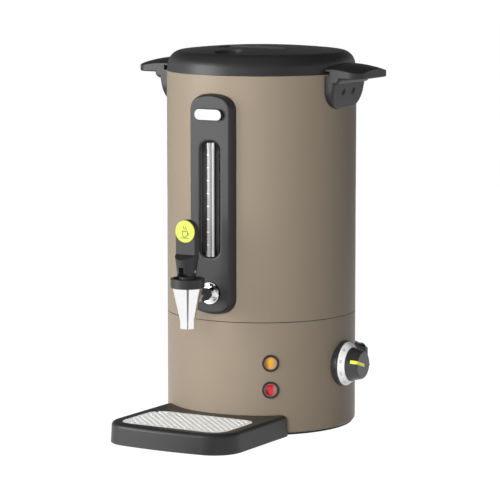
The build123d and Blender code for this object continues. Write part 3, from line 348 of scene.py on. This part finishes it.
# 0 at the tube's left edge and 1 at its right, with a slight waver from the draw lines.
across = glass.place.towards(painted_bands_turn + math.pi / 2, y=glass_y) * (0.5 / glass_r)
# Painted reflection: this ramp lays the bands across the tube, turned towards the camera's side.
painted_bands = glass.node("ShaderNodeValToRGB", {"stops": painted_reflection_bands}, {0: across + draw_lines * 0.02 + 0.49})
glass.set(base_color=painted_bands, normal=glass.relief(draw_lines, draw_depth))
glass.dress("sight_glass", "gauge_elbow", "gauge_top_cap")


# ---------------------------------------------------------------- level marks
# Eight short white dashes of enamel, fired on the front left of the tube, one to each measure of
# water.
mark_count = 8
mark_low = 0.2229
mark_pitch = 0.01494
mark_height = 0.0011
mark_turn = math.radians(-12.0)
mark_half = math.radians(17.0)
mark_r = glass_r + 0.00002
enamel_coat = 0.00008
enamel_tones = (0.78, 0.78, 0.77), (0.90, 0.90, 0.89)
chalk_size = 0.0008
chalk_depth = 0.00001
enamel = Finish("white_enamel", roughness=0.35)
enamel.set(normal=enamel.relief(enamel.drift(enamel_tones, chalk_size), chalk_depth))


def made(name, points, faces, *finishes):
    """Object with a mesh of these points and faces, and a slot for each finish, in the scene."""
    mesh = bpy.data.meshes.new(name)
    mesh.from_pydata(points, [], faces)
    for finish in finishes:
        mesh.materials.append(finish.material)
    thing = bpy.data.objects.new(name, mesh)
    bpy.context.scene.collection.objects.link(thing)
    return thing


def grid(x, y, z):
    """Points of a grid from the arrays of their coordinates, which are spread to one shape."""
    return np.stack(np.broadcast_arrays(x, y, z), axis=-1)


def surface(name, points, body, finish, wall=None):
    """Piece whose surface is a grid of points; patches in the first axis stay apart.

    points has the shape (patch, u, v, xyz): each patch is its own sheet, and wall thickens it.
    """
    patches, rows, columns = points.shape[:3]
    first = np.arange(patches * rows * columns).reshape(patches, rows, columns)
    corners = (first[:, :-1, :-1], first[:, 1:, :-1], first[:, 1:, 1:], first[:, :-1, 1:])
    faces = np.stack(corners, axis=-1).reshape(-1, 4)
    piece = made(name, points.reshape(-1, 3).tolist(), faces.tolist(), finish)
    piece.data.shade_smooth()
    if wall:
        coat = piece.modifiers.new("wall", "SOLIDIFY")
        coat.thickness = wall
        coat.offset = 1.0
    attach(piece, body)
    return piece


# Each mark is a patch of a cylinder just off the glass: turn runs across it and rise up it.
level = (mark_low + mark_pitch * np.arange(mark_count))[:, None, None]
turn = np.linspace(mark_turn - mark_half, mark_turn + mark_half, 7)[None, :, None]
rise = np.linspace(-mark_height / 2, mark_height / 2, 2)[None, None, :]
marks = grid(mark_r * np.sin(turn), glass_y - mark_r * np.cos(turn), level + rise)
surface("gauge_marks", marks, "root", enamel, enamel_coat)


# ---------------------------------------------------------------- gauge channel
# The channel behind the tube is moulded in the charcoal nylon with a rounded inside. It starts at
# the window's rim, a little behind the panel's front.
trough_wall = 0.0012
window_rim = 0.0045
scoop_deep = 0.0050
trough_low, trough_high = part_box("gauge_trough")
scoop_half = (trough_high.x - trough_low.x) / 2 - trough_wall
scoop_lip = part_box("gauge_panel")[0].y + window_rim
# Half an ellipse across the window, from lip to lip, carried straight up the channel's height.
bend = np.linspace(-math.pi / 2, math.pi / 2, 33)[None, None, :]
rise = np.linspace(trough_low.z + trough_wall, trough_high.z - trough_wall, 9)[None, :, None]
scoop = grid(scoop_half * np.sin(bend), scoop_lip + scoop_deep * np.cos(bend), rise)
gauge_scoop = surface("gauge_scoop", scoop, "root", nylon, -trough_wall)
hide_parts("gauge_trough")


# ---------------------------------------------------------------- seals and rubber
# The lid's gasket, the tap's washer and its seat cup are silicone, milky and soft. The foot ring is
# black rubber with a matt, slightly mottled skin.
silicone_tones = (0.66, 0.65, 0.61), (0.76, 0.75, 0.72)
milk_size = 0.004
milk_depth = 0.00004
silicone = Finish("milky_silicone", subsurface_weight=0.2, roughness=0.5)
silicone.set(normal=silicone.relief(silicone.drift(silicone_tones, milk_size), milk_depth))
silicone.dress("lid_gasket", "tap_washer", "tap_seat_cup")
rubber_tones = (0.012, 0.012, 0.012), (0.022, 0.022, 0.022)
rubber = moulding("foot_rubber", rubber_tones, 0.75, grain=0.0009, depth=0.00008)
rubber.dress("foot_ring")


# ---------------------------------------------------------------- badge
# A bare pill set in a raised seat on the panel, above the gauge's window. It is moulded in plastic
# and painted a soft silver grey.
badge_tones = (0.40, 0.40, 0.40), (0.45, 0.45, 0.44)
badge_patch = 0.01
badge_grain = 0.0004
badge_depth = 0.000006
badge_silver = Finish("badge_silver", metallic=0.2, roughness=0.35)
badge_silver.drift(badge_tones, badge_patch)
badge_silver.set(normal=badge_silver.relief(badge_silver.noise(badge_grain, 1.0), badge_depth))
badge_silver.dress("badge_plate")


# ---------------------------------------------------------------- lime mouldings
# The disc on the tap's lever and the strip on the knob, moulded in lime. The strip is a paler lime
# and carries a painted glow.
lime_tones = (0.42, 0.48, 0.030), (0.49, 0.55, 0.045)
glowing_tones = (0.60, 0.60, 0.03), (0.68, 0.67, 0.045)
painted_glow = (0.62, 0.62, 0.02)
dye_size = 0.003
lime_grain = 0.0005
lime_depth = 0.00001
lime_gloss = {"roughness": 0.35, "coat": 0.2, "coat_roughness": 0.15}
lime = Finish("lime_plastic", **lime_gloss)
lime.drift(lime_tones, dye_size)
lime.set(normal=lime.relief(lime.noise(lime_grain, 1.0), lime_depth))
lime.dress("lever_button")
# Painted glow: the strip gives off light, though it is no lamp.
painted_glow_lime = Finish("painted_glow_lime", **lime_gloss, emission_color=painted_glow, emission_strength=0.35)
painted_glow_lime.drift(glowing_tones, dye_size)
painted_glow_lime.dress("knob_pointer")


# ---------------------------------------------------------------- dial
# The white ring is a low cone of glossy plastic round the knob. It is printed in grey with plain
# temperatures and a fine tick at each.
dial_tones = (0.90, 0.90, 0.90), (0.94, 0.94, 0.93)
dial_patch = 0.01
dial_depth = 0.00001
print_tones = (0.22, 0.22, 0.23), (0.34, 0.34, 0.35)
print_grain = 0.0006
dial_white = Finish("dial_white", coat=0.4, coat_roughness=0.1, roughness=0.3)
dial_white.set(normal=dial_white.relief(dial_white.drift(dial_tones, dial_patch), dial_depth))
dial_white.dress("dial_ring")
grey_print = Finish("grey_print", roughness=0.5)
grey_print.drift(print_tones, print_grain)

ring_low, ring_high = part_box("dial_ring")
dial_z = (ring_low.z + ring_high.z) / 2
cone_foot_r = (ring_high.z - ring_low.z) / 2
cone_top_r = 0.0206
cone_foot_x = ring_low.x
cone_rise = ring_high.x - ring_low.x
cone_slope = math.hypot(cone_foot_r - cone_top_r, cone_rise)
print_proud = 0.00006


def on_cone(across, up, clock):
    """Points of the dial's cone: across runs round it and up runs from its foot to its top.

    clock is the angle from straight up, towards the tap. The radius falls from the foot's to the
    top's in step with up, and the result stands print_proud off the cone along its normal.
    """
    share = up / cone_slope
    angle = clock - across / ((cone_foot_r + cone_top_r) / 2)
    normal_x = (cone_foot_r - cone_top_r) / cone_slope
    normal_r = cone_rise / cone_slope
    x = cone_foot_x + cone_rise * share + normal_x * print_proud
    radius = cone_foot_r + (cone_top_r - cone_foot_r) * share + normal_r * print_proud
    return grid(x, -radius * np.sin(angle), dial_z + radius * np.cos(angle))


def written(text, size):
    """Flat mesh of a text, centred on its place, as arrays of points and faces."""
    curve = bpy.data.curves.new("figure", "FONT")
    curve.body = text
    curve.size = size
    curve.align_x = "CENTER"
    curve.align_y = "CENTER"
    curve.resolution_u = 3
    source = bpy.data.objects.new("figure", curve)
    bpy.context.scene.collection.objects.link(source)
    mesh = bpy.data.meshes.new_from_object(source)
    points = np.empty(len(mesh.vertices) * 3)
    mesh.vertices.foreach_get("co", points)
    faces = [tuple(p.vertices) for p in mesh.polygons]
    bpy.data.objects.remove(source)
    bpy.data.meshes.remove(mesh)
    return points.reshape(-1, 3), faces


figures = range(30, 111, 10)
figure_size = 0.00405
figure_up = 0.42 * cone_slope
tick_half = 0.0001
tick_ends = (0.80 * cone_slope, 0.97 * cone_slope)
sweep_start = math.radians(-150.0)
sweep_step = math.radians(37.5)
points = []
faces = []
for i, figure in enumerate(figures):
    clock = sweep_start + sweep_step * i
    shape, loops = written(str(figure), figure_size)
    tick_x, tick_up = np.meshgrid((-tick_half, tick_half), tick_ends, indexing="ij")
    for x, up, flats in ((shape[:, 0], figure_up + shape[:, 1], loops),
                         (tick_x.ravel(), tick_up.ravel(), [(0, 2, 3, 1)])):
        start = sum(len(p) for p in points)
        points.append(on_cone(x, up, clock))
        faces += [tuple(v + start for v in flat) for flat in flats]
dial_figures = made("dial_figures", np.concatenate(points).tolist(), faces, grey_print)
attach(dial_figures, "root")


# ---------------------------------------------------------------- tap spring
# A closed coil of plated wire round the stem, under the bonnet. It shortens as the stem is lifted.
spring_wire = 0.0006
spring_turns = 4
spring_low, spring_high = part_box("tap_spring")
spring_mid = (spring_low + spring_high) / 2
spring_height = spring_high.z - spring_low.z
spring_r = (spring_high.x - spring_low.x) / 2 - spring_wire
# A tube round a helix: share runs up the wire and ring round it.
share = np.linspace(0.0, 1.0, 24 * spring_turns + 1)[:, None]
ring = np.linspace(0.0, 2 * math.pi, 11)[None, :]
wind = share * spring_turns * 2 * math.pi
coil_r = spring_r + spring_wire * np.cos(ring)
climb = spring_wire + (spring_height - 2 * spring_wire) * share + spring_wire * np.sin(ring)
coil = grid(spring_mid.x + coil_r * np.cos(wind), spring_mid.y + coil_r * np.sin(wind),
            spring_low.z + climb)
wound_spring = surface("wound_spring", coil[None], "root", zinc)
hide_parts("tap_spring")
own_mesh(wound_spring)


# ---------------------------------------------------------------- sign on the button
# The lime disc on the lever carries a small printed sign in olive: a plain cup on a saucer, with two
# wisps of steam.
olive_tones = (0.05, 0.055, 0.010), (0.09, 0.10, 0.02)
stroke_width = 0.0008
cup_half = 0.0034
cup_low = -0.0062
cup_high = 0.0004
cup_squareness = 0.45
handle_top = -0.0010
handle_height = 0.0030
handle_bulge = 0.0019
saucer_half = 0.0050
saucer_drop = 0.0012
wisp_spread = 0.0014
wisp_low = 0.0018
wisp_height = 0.0042
wisp_sway = 0.0006
olive_print = Finish("olive_print", roughness=0.5)
olive_print.drift(olive_tones, print_grain)
button_low, button_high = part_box("lever_button")
button_mid = (button_low + button_high) / 2


def stroke(x, z):
    """Ribbon of stroke_width along a line of points on the button, as one patch of a surface.

    Each point of the line has one edge point on either side, half a width off along the normal.
    """
    line = np.stack(np.broadcast_arrays(x, z), axis=1)
    along = np.gradient(line, axis=0)
    along /= np.linalg.norm(along, axis=1, keepdims=True)
    side = np.stack([-along[:, 1], along[:, 0]], axis=1) * stroke_width / 2
    edges = np.stack([line - side, line + side], axis=1)
    return grid(button_mid.x + edges[..., 0], button_low.y - print_proud, button_mid.z + edges[..., 1])


share = np.linspace(0.0, 1.0, 33)
swing = (share - 0.5) * math.pi
bowl_drop = (cup_high - cup_low) * np.cos(swing) ** cup_squareness
sign = [stroke(cup_half * np.sin(swing), cup_high - bowl_drop),
        stroke(cup_half * (2 * share - 1), cup_high),
        stroke(cup_half + handle_bulge * np.sin(share * math.pi), handle_top - handle_height * share),
        stroke(saucer_half * (2 * share - 1), cup_low - saucer_drop)]
for x in (-wisp_spread, wisp_spread):
    sign.append(stroke(x + wisp_sway * np.sin(share * 2 * math.pi), wisp_low + wisp_height * share))
surface("button_sign", np.stack(sign), "tap_handle", olive_print)


# ---------------------------------------------------------------- pilot lamps
# Each lens is a shallow dome of tinted acrylic with rings moulded in its back. Its colour has painted
# shade at its left, a painted highlight at its right and a faint painted glow. They sit in dim metal
# sleeves, inside the black rings.
sleeve_tones = (0.16, 0.15, 0.14), (0.24, 0.23, 0.21)
sleeve_grain = 0.002
painted_highlight_tone = (0.40, 0.36, 0.31)
lens_ring = 0.0012
lens_tones = {"amber_lens": ((0.16, 0.05, 0.004), (0.85, 0.40, 0.02)),
              "red_lens": ((0.12, 0.002, 0.004), (0.62, 0.010, 0.02))}


def lens_acrylic(name, deep_tint_and_shade, bright, centre, radius):
    """Tinted acrylic: painted shade at its left, deep tint in its rings, a painted highlight at its
    right.

    The shares run with the place across the lens, which is -1 at its left edge and 1 at its right.
    """
    # A faint painted glow: the lens gives off a little light of its own.
    acrylic = Finish(name, roughness=0.15, coat=0.3, coat_roughness=0.05, ior=1.49,
                     emission_color=bright, emission_strength=0.04)
    rings = acrylic.noise(lens_ring)
    facing = math.atan2(centre.x, -centre.y)
    across = acrylic.place.towards(facing + math.pi / 2, centre.x, centre.y) * (1.0 / radius)
    # Painted shade: the tint darkens towards the lens's left edge.
    body = acrylic.mix(across.ramp(-0.85, -0.1, 0.0, 1.0), deep_tint_and_shade, bright)
    # Painted highlight: a pale tone towards the lens's right.
    painted_highlight_mix = acrylic.mix(across.ramp(0.25, 0.8, 0.0, 0.6), body, painted_highlight_tone)
    acrylic.set(base_color=acrylic.mix(rings * 0.3, painted_highlight_mix, deep_tint_and_shade))
    return acrylic


sleeve = Finish("lamp_sleeve", metallic=1.0, roughness=0.35)
sleeve.drift(sleeve_tones, sleeve_grain)
sleeve.dress("lamp_bodies")
for lens, (deep_tint_and_shade, bright) in lens_tones.items():
    low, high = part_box(lens)
    acrylic = lens_acrylic(lens + "_acrylic", deep_tint_and_shade, bright, (low + high) / 2, (high.z - low.z) / 2)
    acrylic.dress(lens)


# ---------------------------------------------------------------- power switch
# The rocker is moulded in deep green acrylic. It tips on its pin in the polished black housing beside
# the knob.
green_tones = (0.004, 0.10, 0.045), (0.008, 0.14, 0.065)
swirl_size = 0.004
green_grain = 0.0004
green_depth = 0.000008
green = Finish("green_rocker", roughness=0.25, coat=0.5, coat_roughness=0.08)
green.drift(green_tones, swirl_size)
green.set(normal=green.relief(green.noise(green_grain, 1.0), green_depth))
green.dress("switch_rocker")


# ---------------------------------------------------------------- heater and wiring pieces
# Inside the lower shell: a cast aluminium heater plate, a copper capillary, and cream phenolic
# bodies for the thermostat and the terminal block.
cast_tones = (0.52, 0.52, 0.52), (0.66, 0.66, 0.65)
pit_size = 0.0011
pit_depth = 0.00010
cast = Finish("cast_aluminium", metallic=1.0)
pits = cast.drift(cast_tones, pit_size, 4.0)
cast.set(roughness=pits * 0.2 + 0.38, normal=cast.relief(pits, pit_depth))
cast.dress("heater_plate")
copper_tones = (0.72, 0.36, 0.22), (0.60, 0.28, 0.16)
tarnish_patch = 0.006
tarnish_depth = 0.00002
copper = Finish("drawn_copper", metallic=1.0)
tarnish = copper.drift(copper_tones, tarnish_patch, 3.0)
copper.set(roughness=tarnish * 0.2 + 0.22, normal=copper.relief(tarnish, tarnish_depth))
copper.dress("thermostat_capillary")
phenolic_tones = (0.58, 0.53, 0.42), (0.66, 0.61, 0.50)
phenolic = moulding("cream_phenolic", phenolic_tones, 0.5)
phenolic.dress("thermostat_body", "terminal_block")


# ---------------------------------------------------------------- studio camera
# It stands a few steps away on the knob's side of the tap, at a seated person's eye height, and looks
# a little down through a long lens.
camera_turn = math.radians(30.0)
camera_distance = 3.3938
camera_height = 0.6562
camera_dip = math.radians(7.606)
camera_swing = math.radians(0.232)
camera = bpy.data.objects.new("camera", bpy.data.cameras.new("camera"))
camera.data.lens = 206.93
camera.data.sensor_width = 36.0
camera.data.clip_end = 100.0
camera.location = (camera_distance * math.sin(camera_turn), -camera_distance * math.cos(camera_turn),
                   camera_height)
camera.rotation_euler = (math.pi / 2 - camera_dip, 0.0, camera_turn + camera_swing)
bpy.context.scene.collection.objects.link(camera)
bpy.context.scene.camera = camera


# ---------------------------------------------------------------- studio floor
# A wide white sweep. It shows white to the camera, and mirrors and glass see it dimmer on the dim
# side of the room, behind the urn, which gives the chrome its shades.
floor_half = 15.0
floor_glow = 0.90
white_card = 1.12
dim_turn = math.radians(215.0)
dim_from = 0.2
dim_to = 1.6
dim_share = 0.3
sweep = Finish("white_sweep", base_color=(0.6, 0.6, 0.6), roughness=0.9)
shining = sweep.node("ShaderNodeEmission", {}, {"Color": (1.0, 1.0, 1.0), "Strength": white_card})
ray = sweep.node("ShaderNodeLightPath", {}, {})
to_camera = ray["Is Camera Ray"]
seen = to_camera + ray["Is Glossy Ray"] + ray["Is Transmission Ray"]
dimmed = sweep.place.towards(dim_turn).ramp(dim_from, dim_to, 1.0, dim_share, "SMOOTHSTEP")
white = seen * floor_glow * (dimmed * (1.0 - to_camera) + to_camera)
painted = Wire(sweep, sweep.shader.outputs[0])
shown = sweep.node("ShaderNodeMixShader", {}, {0: white, 1: painted, 2: shining})
sweep.feed(sweep.tree.nodes["Material Output"].inputs["Surface"], shown)
floor_corners = [(-floor_half, -floor_half, 0.0), (floor_half, -floor_half, 0.0),
                 (floor_half, floor_half, 0.0), (-floor_half, floor_half, 0.0)]
floor = made("floor", floor_corners, [(0, 1, 2, 3)], sweep)


# ---------------------------------------------------------------- dark card
# A wedge of grey and black card lies on the floor from the tray towards the camera. Only mirrors see
# it: it streaks the chrome.
wedge_turn = math.radians(33.0)
wedge_lift = 0.0005
wedge_reach = np.array([0.075, 0.075, 0.5, 0.5, 3.0, 3.0])
wedge_side = np.array([-0.024, 0.024, 0.070, -0.070, 0.26, -0.26])
bonnet_low, bonnet_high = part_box("tap_bonnet")
tap_y = (bonnet_low.y + bonnet_high.y) / 2
# Each corner is its reach along the wedge from the tap's axis and its step to the side.
wedge_x = wedge_reach * math.sin(wedge_turn) + wedge_side * math.cos(wedge_turn)
wedge_y = tap_y - wedge_reach * math.cos(wedge_turn) + wedge_side * math.sin(wedge_turn)
corners = grid(wedge_x, wedge_y, wedge_lift)
grey_card = Finish("grey_card", base_color=(0.25, 0.25, 0.25), roughness=0.9)
dark_card = Finish("dark_card", base_color=(0.03, 0.03, 0.03), roughness=0.9)
wedge_card = made("dark_wedge", corners.tolist(), [(0, 1, 2, 3), (3, 2, 4, 5)], grey_card, dark_card)
wedge_card.data.polygons[1].material_index = 1
wedge_card.visible_camera = False
wedge_card.visible_diffuse = False
wedge_card.visible_shadow = False
wedge_card.visible_transmission = False


# ---------------------------------------------------------------- studio lamps
# Four square soft boxes, aimed at the middle of the urn: the key low on the tap's left, a fill on the
# knob's side, a weak one above and one behind. Only the key shows in the chrome.
box_width = 1.5
aim_height = 0.22
soft_boxes = (("key_lamp", -42.0, 0.60, 2.4, 56.0), ("fill_lamp", 15.0, 0.60, 2.4, 56.0),
              ("top_lamp", 0.0, 2.4, 0.6, 16.0), ("back_lamp", 205.0, 0.60, 2.4, 38.0))
for name, degrees, height, distance, watts in soft_boxes:
    lamp = bpy.data.objects.new(name, bpy.data.lights.new(name, "AREA"))
    lamp.data.size = box_width
    lamp.data.energy = watts
    lamp.visible_glossy = name == "key_lamp"
    turn = math.radians(degrees)
    dip = math.atan2(height - aim_height, distance)
    lamp.location = (distance * math.sin(turn), -distance * math.cos(turn), height)
    lamp.rotation_euler = (math.pi / 2 - dip, 0.0, turn)
    bpy.context.scene.collection.objects.link(lamp)


# ---------------------------------------------------------------- studio sky
# White to the camera. It lights the urn faintly, more from the bright side and less from above.
# Mirrors see a white horizon under a dark dome, with a dark gap on one side and a shade behind.
air_dim = 0.056
air_bright = 0.084
air_above = 0.35
bright_turn = math.radians(-25.0)
gap_turn = math.radians(40.0)
gap_dark = 0.55
shade_dark = 0.75
dome_stops = ((0.16, 1.0), (0.42, 0.06))
world = bpy.data.worlds.new("studio_sky")
bpy.context.scene.world = world
world.use_nodes = True
sky = Wiring(world.node_tree)
direction = sky.node("ShaderNodeTexCoord", {}, {}, output="Generated")
height = sky.node("ShaderNodeSeparateXYZ", {}, {0: direction}, output=2)
path = sky.node("ShaderNodeLightPath", {}, {})
side_light = direction.towards(bright_turn).ramp(-1.0, 1.0, air_dim, air_bright)
open_sky = side_light * height.ramp(0.1, 0.9, 1.0, air_above)
plain = sky.mix(path["Is Camera Ray"], open_sky, (1.0, 1.0, 1.0))
gap = direction.towards(gap_turn).ramp(0.84, 1.0, 0.0, gap_dark, "SMOOTHSTEP")
shade = direction.towards(dim_turn).ramp(0.5, 1.0, 0.0, shade_dark, "SMOOTHSTEP")
dome = sky.node("ShaderNodeValToRGB", {"stops": dome_stops}, {0: height})
mirrored_sky = sky.mix(gap.maths("MAXIMUM", gap, shade), dome, (0.0, 0.0, 0.0))
mirrored = path["Is Glossy Ray"] + path["Is Transmission Ray"]
sky.feed(sky.tree.nodes["Background"].inputs["Color"], sky.mix(mirrored, plain, mirrored_sky))

bpy.context.scene.view_settings.view_transform = "Standard"
